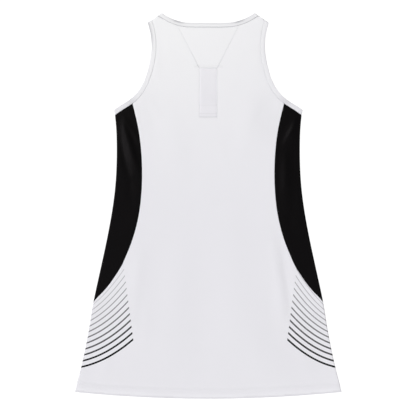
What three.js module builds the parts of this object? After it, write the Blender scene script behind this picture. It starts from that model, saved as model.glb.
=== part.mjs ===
// A sleeveless A-line sports dress that lies flat on its front, with the back upwards.
// Millimetres. +X to the wearer's right as seen here, +Y towards the neck, +Z up, the surface at z = 0.
// Every panel is a flat cut that is laid on the surface: the front below, the back above it.
// The cloth turns over at the two side folds and at the shoulders, and its cut edges stay 0.3 mm apart.

import * as THREE from 'three';

// Cloth and layers
const WALL = 1.2;
const LAYER_GAP = 1.6;
const SEAM_GAP = 0.3;
const SLANTED_SEAM_GAP = 0.36;
const THICKNESS = 2 * WALL + LAYER_GAP;
const FOLD_RADIUS = THICKNESS / 2;
const HALF_TURN = Math.PI * FOLD_RADIUS;

// Hem
const HEM_CENTRE_Y = -424;
const HEM_CORNER_RISE = 15;
const HEM_DEPTH = 20;
const HEM_RAISE = 0.8;
const FRONT_HEM_SHORTER = 2;

// Bindings
const NECK_BINDING_WIDTH = 9.7;
const ARMHOLE_BINDING_WIDTH = 10.3;
const BINDING_WALL = 1.45;
const BINDING_PROUD = 0.25;

// Shoulder, as the line where the back turns over to the front
const SHOULDER_NECK_X = 101;
const SHOULDER_NECK_Y = 424;
const SHOULDER_TIP_X = 133;
const SHOULDER_TIP_Y = 402.4;
const NECK_SEAM_SHOULDER_X = 110.2;
const ARMHOLE_SEAM_TIP_X = 122.5;

// Underarm, where the armhole's free edge meets the side fold
const UNDERARM_Y = 209.5;
const UNDERARM_DIP = 1.5;

// Front scoop and armhole
const FRONT_NECK_Y = 332;
const FRONT_ARMHOLE_SCOOP = 7;
const PAST_CENTRE_ANGLE = -0.3;

// Vent strip and yoke insert in the upper back
const VENT_HALF_WIDTH = 19.5;
const VENT_BOTTOM_Y = 194;
const VENT_TOP_Y = 302;
const INSERT_TOP_HALF_WIDTH = 68;

// Lower point of the black side panel
const POINT_Y = -208;
const POINT_DROP = 6;
const POINT_SHOULDER = 0.8;
const POINT_CLEAR = 1.2;

// Half width of the laid dress at each height
const SIDE = [
  { y: -430, half: 294.5 },
  { y: -407, half: 292.5 },
  { y: -363, half: 281.5 },
  { y: -327, half: 273.2 },
  { y: -292, half: 266.0 },
  { y: -257, half: 260.0 },
  { y: -222, half: 254.4 },
  { y: -187, half: 247.5 },
  { y: -151, half: 239.6 },
  { y: -116, half: 231.9 },
  { y: -81, half: 224.4 },
  { y: -46, half: 217.5 },
  { y: -11, half: 211.4 },
  { y: 25, half: 206.4 },
  { y: 60, half: 203.2 },
  { y: 95, half: 201.6 },
  { y: 130, half: 201.3 },
  { y: 165, half: 202.2 },
  { y: 200, half: 205.4 },
  { y: 215, half: 208.6 },
];

// Inner edge of the black side panel, measured from the centre line
const PANEL_EDGE = [
  { y: -240, half: 273 },
  { y: -214, half: 254 },
  { y: -203, half: 245 },
  { y: -187, half: 229.3 },
  { y: -169, half: 214.7 },
  { y: -151, half: 202.4 },
  { y: -134, half: 191.6 },
  { y: -116, half: 183.2 },
  { y: -81, half: 169.0 },
  { y: -46, half: 158.4 },
  { y: -11, half: 151.2 },
  { y: 25, half: 147.2 },
  { y: 60, half: 145.5 },
  { y: 95, half: 145.9 },
  { y: 130, half: 148.3 },
  { y: 165, half: 152.9 },
  { y: 200, half: 160.4 },
  { y: 222, half: 166.0 },
  { y: 245, half: 172.0 },
];

// Free edge of the back armhole, from the underarm to the shoulder tip
const ARMHOLE = [
  { y: 200, x: 221.4 },
  { y: 209.5, x: 208.0 },
  { y: 218, x: 195.9 },
  { y: 236, x: 168.6 },
  { y: 253, x: 152.9 },
  { y: 271, x: 142.3 },
  { y: 289, x: 135.4 },
  { y: 306, x: 130.7 },
  { y: 324, x: 127.1 },
  { y: 341, x: 124.9 },
  { y: 359, x: 124.7 },
  { y: 377, x: 126.7 },
  { y: 390, x: 129.6 },
  { y: 402, x: 133.0 },
  { y: 412, x: 136.2 },
];

// Free edge of the back neckline, from the centre line to the shoulder
const NECKLINE = [
  { x: -30, y: 401.6 },
  { x: 0, y: 401.5 },
  { x: 30, y: 401.6 },
  { x: 50, y: 402.6 },
  { x: 62, y: 404.6 },
  { x: 73, y: 408.0 },
  { x: 84, y: 412.6 },
  { x: 93, y: 417.4 },
  { x: 101, y: 422.4 },
  { x: 108, y: 427.0 },
];

// Soft ridges (up) and troughs (down) in the laid back, as lines with a width and a height
const FOLDS = [
  { x1: 150, y1: -70, x2: 176, y2: -236, width: 15, height: 1.7 },
  { x1: -146, y1: -80, x2: -172, y2: -262, width: 17, height: 1.3 },
  { x1: 128, y1: -150, x2: 150, y2: -330, width: 17, height: -0.7 },
  { x1: -196, y1: 186, x2: -157, y2: 60, width: 11, height: 1.5 },
  { x1: 198, y1: 196, x2: 168, y2: 120, width: 11, height: 1.3 },
  { x1: 168, y1: 130, x2: 172, y2: -20, width: 12, height: 1.4 },
  { x1: -52, y1: -60, x2: -92, y2: -380, width: 30, height: 1.1 },
  { x1: 44, y1: 20, x2: 70, y2: -350, width: 32, height: 1.2 },
  { x1: -96, y1: 250, x2: -60, y2: 60, width: 26, height: 0.9 },
  { x1: 104, y1: 246, x2: 70, y2: 90, width: 24, height: 0.9 },
];
const FOLD_FADE = 16;
const FOLD_TAPER = 0.8;

// How finely each stretch is divided
const BACK_CELLS = 11;
const FRONT_CELLS = 8;
const FOLD_CELLS = 3;
const CENTRE_CELLS = 4;
const INSERT_CELLS = 4;
const INSERT_ROWS = 5;
const VENT_ROWS = 7;
const PANEL_CELLS = 5;
const PANEL_ROWS = 13;
const SKIRT_ROWS = 6;
const ARMHOLE_CELLS = 12;
const BACK_STRAIGHT_ROWS = 5;
const FRONT_STRAIGHT_ROWS = 3;
const FRONT_STRAIGHT_TOP_Y = 252;
const SEAM_PULL = 4;
const TURN_STEPS = 6;
const SAMPLE_STEPS = 160;

const COLOUR = { white: 0xefeff1, lilac: 0xe4e3e9, black: 0x131313 };

function lerp(a, b, t) {
  return a + (b - a) * t;
}

function smoothstep(t) {
  const s = Math.min(1, Math.max(0, t));
  return s * s * (3 - 2 * s);
}

// A smooth curve through a table's rows, straight past both ends.
function through(rows, key, value) {
  const x = rows.map((row) => row[key]);
  const y = rows.map((row) => row[value]);
  const last = x.length - 1;
  const slope = x.map((_, i) => {
    const before = Math.max(0, i - 1);
    const after = Math.min(last, i + 1);
    return (y[after] - y[before]) / (x[after] - x[before]);
  });
  return (at) => {
    if (at <= x[0]) return y[0] + slope[0] * (at - x[0]);
    if (at >= x[last]) return y[last] + slope[last] * (at - x[last]);
    let i = 0;
    while (at > x[i + 1]) i += 1;
    const span = x[i + 1] - x[i];
    const t = (at - x[i]) / span;
    const rise = y[i] * (2 * t ** 3 - 3 * t ** 2 + 1) + y[i + 1] * (3 * t ** 2 - 2 * t ** 3);
    return rise + span * (slope[i] * (t ** 3 - 2 * t ** 2 + t) + slope[i + 1] * (t ** 3 - t ** 2));
  };
}

const halfWidth = through(SIDE, 'y', 'half');
const panelEdge = through(PANEL_EDGE, 'y', 'half');
const backArmhole = through(ARMHOLE, 'y', 'x');
const backNeckline = through(NECKLINE, 'x', 'y');

function frontArmhole(y) {
  const along = (y - UNDERARM_Y) / (SHOULDER_TIP_Y - UNDERARM_Y);
  return backArmhole(y) - FRONT_ARMHOLE_SCOOP * Math.sin(Math.PI * Math.min(1, Math.max(0, along)));
}

// Where the side and the shoulder begin to turn over.
function sideTurn(y) {
  return halfWidth(Math.min(y, UNDERARM_Y)) - FOLD_RADIUS;
}

function shoulderTurn(x) {
  const slope = (SHOULDER_TIP_Y - SHOULDER_NECK_Y) / (SHOULDER_TIP_X - SHOULDER_NECK_X);
  return SHOULDER_NECK_Y + slope * (Math.abs(x) - SHOULDER_NECK_X) - FOLD_RADIUS;
}

// Height of the soft folds over the flat lay, gone at the side folds and the shoulders.
function relief(x, y) {
  let sum = 0;
  for (const fold of FOLDS) {
    const dx = fold.x2 - fold.x1;
    const dy = fold.y2 - fold.y1;
    const length = Math.hypot(dx, dy);
    const along = ((x - fold.x1) * dx + (y - fold.y1) * dy) / length ** 2;
    const across = ((x - fold.x1) * dy - (y - fold.y1) * dx) / length;
    const taper = Math.sin(Math.PI * Math.min(1, Math.max(0, along))) ** FOLD_TAPER;
    sum += fold.height * taper * Math.exp(-((across / fold.width) ** 2));
  }
  const fromSide = (sideTurn(y) - Math.abs(x)) / FOLD_FADE;
  const fromShoulder = (shoulderTurn(x) - y) / FOLD_FADE;
  return sum * smoothstep(fromSide) * smoothstep(fromShoulder);
}

// Lays a point of the flat cut on its layer. x and y are measured in the cloth, so past a turn they run on
// round it to the other layer. depth is how far the point lies inside the cloth, and proud how far it
// stands over the upper layer.
function lay(layer, x, y, depth, proud = 0) {
  const side = x < 0 ? -1 : 1;
  const upper = layer === 'back' ? 1 : -1;
  const atShoulder = y > (UNDERARM_Y + SHOULDER_TIP_Y) / 2;
  const start = atShoulder ? shoulderTurn(x) : sideTurn(y);
  const over = (atShoulder ? y : Math.abs(x)) - start;
  const angle = Math.min(Math.PI, Math.max(0, over / FOLD_RADIUS));
  const top = Math.max(0, Math.cos(angle) * upper);
  const radius = FOLD_RADIUS + proud * top - depth;
  let reach = start + radius * Math.sin(angle);
  if (over <= 0) reach = start + over;
  if (over > HALF_TURN) reach = start - (over - HALF_TURN);
  const px = atShoulder ? Math.abs(x) : reach;
  const py = atShoulder ? reach : y;
  const z = FOLD_RADIUS + upper * radius * Math.cos(angle) + top * relief(side * px, py);
  return new THREE.Vector3(side * px, py, z);
}

// A closed wall over a grid of points, each with an outer and an inner place. Cells that keep() refuses
// are left open, and every open edge is closed by a rim.
function panelGeometry(rows, keep = () => true) {
  const across = rows[0].length;
  const position = [];
  for (const row of rows) {
    for (const point of row) position.push(...point.outer.toArray(), ...point.inner.toArray());
  }
  const at = (i, j, inner) => 2 * (i * across + j) + inner;
  const kept = (i, j) => i >= 0 && j >= 0 && i < rows.length - 1 && j < across - 1 && keep(i, j);
  const index = [];
  const quad = (a, b, c, d) => index.push(a, b, c, a, c, d);
  for (let i = 0; i < rows.length - 1; i += 1) {
    for (let j = 0; j < across - 1; j += 1) {
      if (!kept(i, j)) continue;
      quad(at(i, j, 0), at(i, j + 1, 0), at(i + 1, j + 1, 0), at(i + 1, j, 0));
      quad(at(i, j, 1), at(i + 1, j, 1), at(i + 1, j + 1, 1), at(i, j + 1, 1));
      const edges = [
        [i - 1, j, i, j, i, j + 1],
        [i, j + 1, i, j + 1, i + 1, j + 1],
        [i + 1, j, i + 1, j + 1, i + 1, j],
        [i, j - 1, i + 1, j, i, j],
      ];
      for (const [ni, nj, ai, aj, bi, bj] of edges) {
        if (!kept(ni, nj)) quad(at(ai, aj, 0), at(ai, aj, 1), at(bi, bj, 1), at(bi, bj, 0));
      }
    }
  }
  return solid(position, index);
}

// A closed ring through sections, each a loop of the same number of corners.
function ringGeometry(sections) {
  const corners = sections[0].length;
  const position = sections.flatMap((section) => section.flatMap((corner) => corner.toArray()));
  const index = [];
  sections.forEach((_, i) => {
    const next = (i + 1) % sections.length;
    for (let j = 0; j < corners; j += 1) {
      const a = i * corners + j;
      const b = i * corners + ((j + 1) % corners);
      const c = next * corners + ((j + 1) % corners);
      const d = next * corners + j;
      index.push(a, b, c, a, c, d);
    }
  });
  return solid(position, index);
}

// Only the points that faces use, with the faces turned outwards.
function solid(position, index) {
  let volume = 0;
  const point = (i) => new THREE.Vector3(...position.slice(3 * i, 3 * i + 3));
  for (let k = 0; k < index.length; k += 3) {
    const [a, b, c] = [point(index[k]), point(index[k + 1]), point(index[k + 2])];
    volume += a.dot(b.cross(c));
  }
  const turned = volume < 0 ? index.slice().reverse() : index;
  const used = [...new Set(turned)];
  const renumber = new Map(used.map((old, i) => [old, i]));
  const geometry = new THREE.BufferGeometry();
  const kept = used.flatMap((i) => position.slice(3 * i, 3 * i + 3));
  geometry.setAttribute('position', new THREE.Float32BufferAttribute(kept, 3));
  geometry.setIndex(turned.map((i) => renumber.get(i)));
  geometry.computeVertexNormals();
  return geometry;
}

// The line that runs beside a line at a distance, to its right hand.
function beside(line, distance) {
  return line.map(([x, y], i) => {
    const [x0, y0] = line[Math.max(0, i - 1)];
    const [x1, y1] = line[Math.min(line.length - 1, i + 1)];
    const length = Math.hypot(x1 - x0, y1 - y0);
    return [x + (distance * (y1 - y0)) / length, y - (distance * (x1 - x0)) / length];
  });
}

// The stretch of a line where inside() is not negative, cut where it turns negative.
function clipped(line, inside) {
  const out = [];
  line.forEach((point, i) => {
    const here = inside(...point);
    if (i > 0) {
      const before = inside(...line[i - 1]);
      if (here < 0 !== before < 0) {
        const t = before / (before - here);
        out.push([lerp(line[i - 1][0], point[0], t), lerp(line[i - 1][1], point[1], t)]);
      }
    }
    if (here >= 0) out.push(point);
  });
  return out;
}

// A line again, as steps + 1 points spaced evenly along it.
function spaced(line, steps) {
  const along = [0];
  for (let i = 1; i < line.length; i += 1) {
    along.push(along[i - 1] + Math.hypot(line[i][0] - line[i - 1][0], line[i][1] - line[i - 1][1]));
  }
  const out = [];
  for (let k = 0; k <= steps; k += 1) {
    const at = (along[along.length - 1] * k) / steps;
    let i = 1;
    while (i < line.length - 1 && along[i] < at) i += 1;
    const t = (at - along[i - 1]) / (along[i] - along[i - 1]);
    out.push([lerp(line[i - 1][0], line[i][0], t), lerp(line[i - 1][1], line[i][1], t)]);
  }
  return out;
}

function sampled(point) {
  return Array.from({ length: SAMPLE_STEPS + 1 }, (_, i) => point(i / SAMPLE_STEPS));
}

const underShoulder = (x, y) => shoulderTurn(x) - y;
const withinSide = (x, y) => sideTurn(y) - x;

// The black panel's inner edge, kept clear of the side fold at its lower point.
function panelInner(y) {
  return Math.min(panelEdge(y), sideTurn(y) - POINT_SHOULDER);
}

function bodyBesidePanel(y) {
  const slope = panelInner(y + 1) - panelInner(y);
  return panelInner(y) - SEAM_GAP * Math.hypot(1, slope);
}

// The armhole's edge on a layer, from the underarm fold to the shoulder turn, a distance in from its free
// edge.
function armholeLine(layer, distance) {
  const edge = layer === 'back' ? backArmhole : frontArmhole;
  const low = ARMHOLE[0].y;
  const high = ARMHOLE[ARMHOLE.length - 1].y;
  const line = sampled((t) => [edge(lerp(high, low, t)), lerp(high, low, t)]);
  return clipped(clipped(beside(line, distance), underShoulder), withinSide).reverse();
}

// The neckline's edge on a layer, from the centre line to the shoulder turn, a distance out from its free
// edge.
function necklineLine(layer, distance) {
  const end = NECKLINE[NECKLINE.length - 1].x;
  const depth = SHOULDER_NECK_Y - FRONT_NECK_Y;
  const back = (t) => [lerp(NECKLINE[0].x, end, t), backNeckline(lerp(NECKLINE[0].x, end, t))];
  const front = (t) => {
    const angle = lerp(PAST_CENTRE_ANGLE, Math.PI / 2, t);
    return [SHOULDER_NECK_X * Math.sin(angle), SHOULDER_NECK_Y - depth * Math.cos(angle)];
  };
  const line = sampled(layer === 'back' ? back : front);
  if (layer === 'front') line.push([SHOULDER_NECK_X, SHOULDER_NECK_Y + FOLD_RADIUS]);
  return clipped(clipped(beside(line, distance), (x) => x), underShoulder);
}

// The armhole seam as stations that the pieces on both sides of it share: first the black panel's, then the
// body's. side is 1 for the pieces inside the seam and -1 for the binding.
function armholeStations(layer, side) {
  const line = armholeLine(layer, ARMHOLE_BINDING_WIDTH + SEAM_GAP / 2);
  const beforePanel = (x, y) => x - panelInner(y);
  const under = spaced(clipped(line, beforePanel), PANEL_CELLS);
  const above = spaced(clipped(line, (x, y) => -beforePanel(x, y)), ARMHOLE_CELLS);
  const stations = beside([...under, ...above.slice(1)], (-side * SEAM_GAP) / 2);
  const tip = ARMHOLE_SEAM_TIP_X - (side * SEAM_GAP) / 2;
  stations[0][0] = sideTurn(stations[0][1]);
  stations[stations.length - 1] = [tip, shoulderTurn(tip)];
  return stations;
}

// The neck seam as shared stations, from the centre line to the shoulder turn. side is as above.
function neckStations(layer, side) {
  const line = necklineLine(layer, NECK_BINDING_WIDTH + SEAM_GAP / 2);
  const beforeInsert = (x) => INSERT_TOP_HALF_WIDTH - x;
  let stations = spaced(line, FRONT_CELLS);
  if (layer === 'back') {
    const insert = spaced(clipped(line, beforeInsert), INSERT_CELLS);
    const body = spaced(clipped(line, (x) => -beforeInsert(x)), BACK_CELLS);
    stations = [...insert, ...body.slice(1)];
  }
  stations = beside(stations, (side * SEAM_GAP) / 2);
  const end = NECK_SEAM_SHOULDER_X + (side * SEAM_GAP) / 2;
  stations[0][0] = 0;
  stations[stations.length - 1] = [end, shoulderTurn(end)];
  return stations;
}

// A binding's section between its free edge and its seam edge, in the cloth's own measure. side is 1 on the
// right half of the dress and -1 on the left.
function bindingSection(layer, side, free, seam) {
  return [
    lay(layer, side * free[0], free[1], 0, BINDING_PROUD),
    lay(layer, side * seam[0], seam[1], 0, BINDING_PROUD),
    lay(layer, side * seam[0], seam[1], BINDING_WALL),
    lay(layer, side * free[0], free[1], BINDING_WALL),
  ];
}

// The sections that carry a binding over the shoulder, from the back to the front.
function overShoulder(side, back, front) {
  const sections = [];
  for (let k = 1; k < TURN_STEPS; k += 1) {
    const t = k / TURN_STEPS;
    const [free, seam] = ['free', 'seam'].map((edge) => {
      const x = lerp(back[edge].at(-1)[0], front[edge].at(-1)[0], t);
      return [x, shoulderTurn(x) + t * HALF_TURN];
    });
    sections.push(bindingSection('back', side, free, seam));
  }
  return sections;
}

function underarmPlace(backY, frontY, t) {
  const y = lerp(frontY, backY, t) - UNDERARM_DIP * Math.sin(Math.PI * t);
  return [sideTurn(y) + t * HALF_TURN, y];
}

function armholeBinding(side) {
  const edges = (layer) => ({
    free: spaced(armholeLine(layer, 0), PANEL_CELLS + ARMHOLE_CELLS),
    seam: armholeStations(layer, -1),
  });
  const back = edges('back');
  const front = edges('front');
  const sections = back.free.map((free, i) => bindingSection('back', side, free, back.seam[i]));
  sections.push(...overShoulder(side, back, front));
  const down = front.free.map((free, i) => bindingSection('front', side, free, front.seam[i]));
  sections.push(...down.reverse());
  for (let k = 1; k < TURN_STEPS; k += 1) {
    const t = k / TURN_STEPS;
    const free = underarmPlace(back.free[0][1], front.free[0][1], t);
    const seam = underarmPlace(back.seam[0][1], front.seam[0][1], t);
    sections.push(bindingSection('front', side, free, seam));
  }
  return ringGeometry(sections);
}

function neckBinding() {
  const edges = (layer) => {
    const seam = neckStations(layer, -1);
    return { free: spaced(necklineLine(layer, 0), seam.length - 1), seam };
  };
  const back = edges('back');
  const front = edges('front');
  const half = (side) => {
    const sections = back.free.map((free, i) => bindingSection('back', side, free, back.seam[i]));
    sections.push(...overShoulder(side, back, front));
    const down = front.free.map((free, i) => bindingSection('front', side, free, front.seam[i]));
    return [...sections, ...down.reverse()];
  };
  return ringGeometry([...half(1), ...half(-1).slice(1, -1).reverse()]);
}

// Places of the columns of a half cut between its inner and its side edge, close together at the side.
function columnPlaces(innerX, edgeX, cells) {
  const near = HALF_TURN / 2;
  const out = [];
  for (let k = 0; k <= cells; k += 1) out.push(lerp(innerX, edgeX - near, k / cells));
  for (let k = 1; k <= FOLD_CELLS; k += 1) out.push(edgeX - near * (1 - k / FOLD_CELLS));
  return out;
}

// The hem's rows and the rows between it and the black panel's point. The hem's curve fades out upwards.
function skirtRows(cut) {
  const top = POINT_Y - POINT_DROP - POINT_CLEAR;
  const heights = [
    { above: cut.hemShorter, raise: HEM_RAISE },
    { above: HEM_DEPTH, raise: HEM_RAISE },
    { above: HEM_DEPTH + 2 * SEAM_GAP, raise: 0 },
  ];
  const low = HEM_CENTRE_Y + HEM_DEPTH + 2 * SEAM_GAP;
  for (let k = 1; k <= SKIRT_ROWS; k += 1) {
    heights.push({ above: lerp(low, top, k / SKIRT_ROWS) - HEM_CENTRE_Y, raise: 0 });
  }
  return heights.map(({ above, raise }) => {
    const fade = 1 - smoothstep((above - HEM_DEPTH) / (top - HEM_CENTRE_Y - HEM_DEPTH));
    const edgeY = HEM_CENTRE_Y + above + fade * HEM_CORNER_RISE;
    const edge = sideTurn(edgeY) + HALF_TURN / 2 - SEAM_GAP / 2;
    return columnPlaces(cut.inner, edge, cut.cells).map((x) => {
      const rise = HEM_CORNER_RISE * (x / edge) ** 2;
      const flatPart = smoothstep((edge - x) / HALF_TURN - 0.5);
      return { x, y: HEM_CENTRE_Y + above + fade * rise, raise: raise * flatPart };
    });
  });
}

// The rows beside the black panel. The row nearest the vent's lower end bends to it.
function waistRows(layer, cut) {
  const corner = armholeStations(layer, 1)[PANEL_CELLS];
  const levels = Array.from({ length: PANEL_ROWS }, (_, i) => lerp(POINT_Y, corner[1], i / PANEL_ROWS));
  const fromVent = (level) => Math.abs(level - VENT_BOTTOM_Y);
  const nearest = levels.reduce((a, b) => (fromVent(b) < fromVent(a) ? b : a));
  return levels.map((level) => {
    const bend = cut.hasVent && level === nearest ? VENT_BOTTOM_Y - level : 0;
    const edge = bodyBesidePanel(level) - (level === POINT_Y ? POINT_CLEAR : 0);
    return columnPlaces(cut.inner, edge, cut.cells).map((x) => {
      const out = smoothstep((x - cut.inner) / (edge - cut.inner));
      return { x, y: level + bend * (1 - out), raise: 0 };
    });
  });
}

// The rows beside the armhole, one for each of its stations, filled between the inner line, the armhole
// seam and the neck seam with the shoulder's turn.
function yokeRows(layer, cut) {
  const stations = armholeStations(layer, 1).slice(PANEL_CELLS);
  const low = columnPlaces(cut.inner, stations[0][0], cut.cells).map((x) => [x, stations[0][1]]);
  const rows = [low];
  const last = cut.cells + FOLD_CELLS;
  for (let k = 1; k <= cut.straightRows; k += 1) {
    const innerY = lerp(stations[0][1], cut.innerTopY, k / cut.straightRows);
    const places = columnPlaces(cut.inner, stations[k][0], cut.cells);
    rows.push(places.map((x, j) => [x, lerp(innerY, stations[k][1], smoothstep(j / last))]));
  }
  const bottom = rows.at(-1);
  const rest = ARMHOLE_CELLS - cut.straightRows;
  for (let k = 1; k <= rest; k += 1) {
    const t = k / rest;
    const outer = stations[cut.straightRows + k];
    rows.push(
      bottom.map((from, j) => {
        const share = ((from[0] - bottom[0][0]) / (bottom[last][0] - bottom[0][0])) ** SEAM_PULL;
        return [0, 1].map((axis) => {
          const straight = lerp(bottom[last][axis], cut.top[last][axis], t);
          return lerp(from[axis], cut.top[j][axis], t) + share * (outer[axis] - straight);
        });
      }),
    );
  }
  for (let k = 1; k <= FOLD_CELLS; k += 1) {
    const up = ((HALF_TURN - SEAM_GAP) / 2) * (k / FOLD_CELLS);
    rows.push(cut.top.map(([x, y]) => [x, y + up]));
  }
  return rows.map((row) => row.map(([x, y]) => ({ x, y, raise: 0 })));
}

// A body panel's top edge: the neck seam, then the shoulder where it begins to turn.
function topLine(neck) {
  const start = neck.at(-1)[0];
  const tip = ARMHOLE_SEAM_TIP_X - SEAM_GAP / 2;
  const shoulder = spaced([[start, shoulderTurn(start)], [tip, shoulderTurn(tip)]], FOLD_CELLS);
  return [...neck, ...shoulder.slice(1)];
}

function placed(layer, spot) {
  const proud = layer === 'back' ? spot.raise : 0;
  const extra = layer === 'back' ? 0 : spot.raise;
  return { outer: lay(layer, spot.x, spot.y, 0, proud), inner: lay(layer, spot.x, spot.y, WALL + extra) };
}

// A whole body panel from the rows of its right half, with cells between its two inner lines.
function bodyGeometry(layer, rows, cut) {
  const side = cut.cells + FOLD_CELLS;
  const between = cut.centreCells;
  const whole = rows.map((half) => {
    const centre = [];
    for (let k = 1; k < between; k += 1) {
      centre.push({ ...half[0], x: lerp(-half[0].x, half[0].x, k / between) });
    }
    const left = half.map((spot) => ({ ...spot, x: -spot.x })).reverse();
    const row = [...left, ...centre, ...(between ? half : half.slice(1))];
    return (layer === 'back' ? row : row.reverse()).map((spot) => placed(layer, spot));
  });
  const turnRow = rows.length - 1 - FOLD_CELLS;
  return panelGeometry(whole, (i, j) => {
    const inNotch = between && i >= cut.notchRow && j >= side && j < side + between;
    const onNeck = i >= turnRow && j >= FOLD_CELLS && j < 2 * side + between - FOLD_CELLS;
    return !inNotch && !onNeck;
  });
}

function backBody() {
  const cut = {
    inner: VENT_HALF_WIDTH,
    innerTopY: VENT_TOP_Y,
    cells: BACK_CELLS,
    straightRows: BACK_STRAIGHT_ROWS,
    centreCells: CENTRE_CELLS,
    hemShorter: 0,
    hasVent: true,
    top: topLine(neckStations('back', 1).slice(INSERT_CELLS)),
  };
  const rows = [...skirtRows(cut), ...waistRows('back', cut), ...yokeRows('back', cut)];
  cut.notchRow = rows.findIndex((row) => row[0].y > VENT_BOTTOM_Y - 1);
  return bodyGeometry('back', rows, cut);
}

function frontBody() {
  const cut = {
    inner: 0,
    innerTopY: FRONT_STRAIGHT_TOP_Y,
    cells: FRONT_CELLS,
    straightRows: FRONT_STRAIGHT_ROWS,
    centreCells: 0,
    hemShorter: FRONT_HEM_SHORTER,
    top: topLine(neckStations('front', 1)),
  };
  const rows = [...skirtRows(cut), ...waistRows('front', cut), ...yokeRows('front', cut)];
  return bodyGeometry('front', rows, cut);
}

// The black panel: rows from its point to the armhole seam, columns from its back edge round the side
// fold to its front edge.
function sidePanel(side) {
  const columns = 2 * PANEL_CELLS + TURN_STEPS;
  const seams = { back: armholeStations('back', 1), front: armholeStations('front', 1) };
  const pointReach = sideTurn(POINT_Y) - panelInner(POINT_Y) + HALF_TURN / 2;
  const rows = [];
  for (let i = 0; i <= PANEL_ROWS; i += 1) {
    const t = i / PANEL_ROWS;
    const row = [];
    for (let j = 0; j <= columns; j += 1) {
      const layer = j <= columns / 2 ? 'back' : 'front';
      const k = layer === 'back' ? j : columns - j;
      const across = Math.min(1, k / PANEL_CELLS);
      const turn = Math.max(0, k - PANEL_CELLS) / TURN_STEPS;
      const reach = across * (sideTurn(POINT_Y) - panelInner(POINT_Y)) + turn * HALF_TURN;
      const lowY = POINT_Y - (POINT_DROP * reach) / pointReach;
      const station = seams[layer][Math.max(0, PANEL_CELLS - k)];
      const other = layer === 'back' ? 'front' : 'back';
      const highY = turn
        ? underarmPlace(seams[layer][0][1], seams[other][0][1], 1 - turn)[1]
        : station[1];
      const y = lerp(lowY, highY, t);
      const edge = panelInner(lerp(POINT_Y, seams[layer][PANEL_CELLS][1], t));
      const even = lerp(seams[layer][PANEL_CELLS][0], sideTurn(station[1]), across);
      const x = lerp(edge, sideTurn(y), across) + t ** 3 * (station[0] - even) * (turn ? 0 : 1);
      const spot = side * (x + turn * HALF_TURN);
      row.push({ outer: lay(layer, spot, y, 0), inner: lay(layer, spot, y, WALL) });
    }
    rows.push(row);
  }
  return panelGeometry(rows);
}

// The yoke insert between the two slanting seams, from the vent to the neck seam.
function insertPanel() {
  const neck = neckStations('back', 1).slice(0, INSERT_CELLS + 1);
  const half = neck.map(([x, y], j) => ({
    low: [(VENT_HALF_WIDTH * j) / INSERT_CELLS, VENT_TOP_Y],
    high: [x, y],
    in: j === INSERT_CELLS ? SLANTED_SEAM_GAP : 0,
  }));
  const rows = [];
  for (let i = 0; i <= INSERT_ROWS; i += 1) {
    const right = half.map((column) => {
      const x = lerp(column.low[0], column.high[0], i / INSERT_ROWS) - column.in;
      return [x, lerp(column.low[1], column.high[1], i / INSERT_ROWS)];
    });
    const left = right.slice(1).map(([x, y]) => [-x, y]).reverse();
    rows.push([...left, ...right].map(([x, y]) => placed('back', { x, y, raise: 0 })));
  }
  return panelGeometry(rows);
}

function ventPanel() {
  const rows = [];
  for (let i = 0; i <= VENT_ROWS; i += 1) {
    const y = lerp(VENT_BOTTOM_Y + SEAM_GAP, VENT_TOP_Y - SEAM_GAP, i / VENT_ROWS);
    const row = [];
    for (let j = 0; j <= CENTRE_CELLS; j += 1) {
      const x = ((2 * j) / CENTRE_CELLS - 1) * (VENT_HALF_WIDTH - SEAM_GAP);
      row.push(placed('back', { x, y, raise: 0 }));
    }
    rows.push(row);
  }
  return panelGeometry(rows);
}

const finish = {
  knit: new THREE.MeshStandardMaterial({ color: COLOUR.white, roughness: 0.75, metalness: 0 }),
  mesh: new THREE.MeshStandardMaterial({ color: COLOUR.lilac, roughness: 0.8, metalness: 0 }),
  black: new THREE.MeshStandardMaterial({ color: COLOUR.black, roughness: 0.55, metalness: 0 }),
  binding: new THREE.MeshStandardMaterial({ color: COLOUR.white, roughness: 0.7, metalness: 0 }),
};

const dress = new THREE.Group();

function add(name, geometry, material) {
  const mesh = new THREE.Mesh(geometry, material.clone());
  mesh.name = name;
  dress.add(mesh);
}

add('back_body', backBody(), finish.knit);
add('front_body', frontBody(), finish.knit);
add('back_insert', insertPanel(), finish.knit);
add('back_vent', ventPanel(), finish.mesh);
for (const [name, side] of [['right', 1], ['left', -1]]) {
  add(`side_panel_${name}`, sidePanel(side), finish.black);
  add(`armhole_binding_${name}`, armholeBinding(side), finish.binding);
}
add('neck_binding', neckBinding(), finish.binding);

export default dress;
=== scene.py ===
# Looks of a sleeveless A-line sports dress that lies flat on its front, with the back upwards.
# Cut sizes are millimetres, as on the pattern, and every mesh is written in metres.
# +X is to the wearer's right as seen here, +Y runs to the neck and the surface is at z = 0.
import math

import bpy
import numpy as np
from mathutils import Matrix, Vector
from mathutils.geometry import delaunay_2d_cdt


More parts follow.
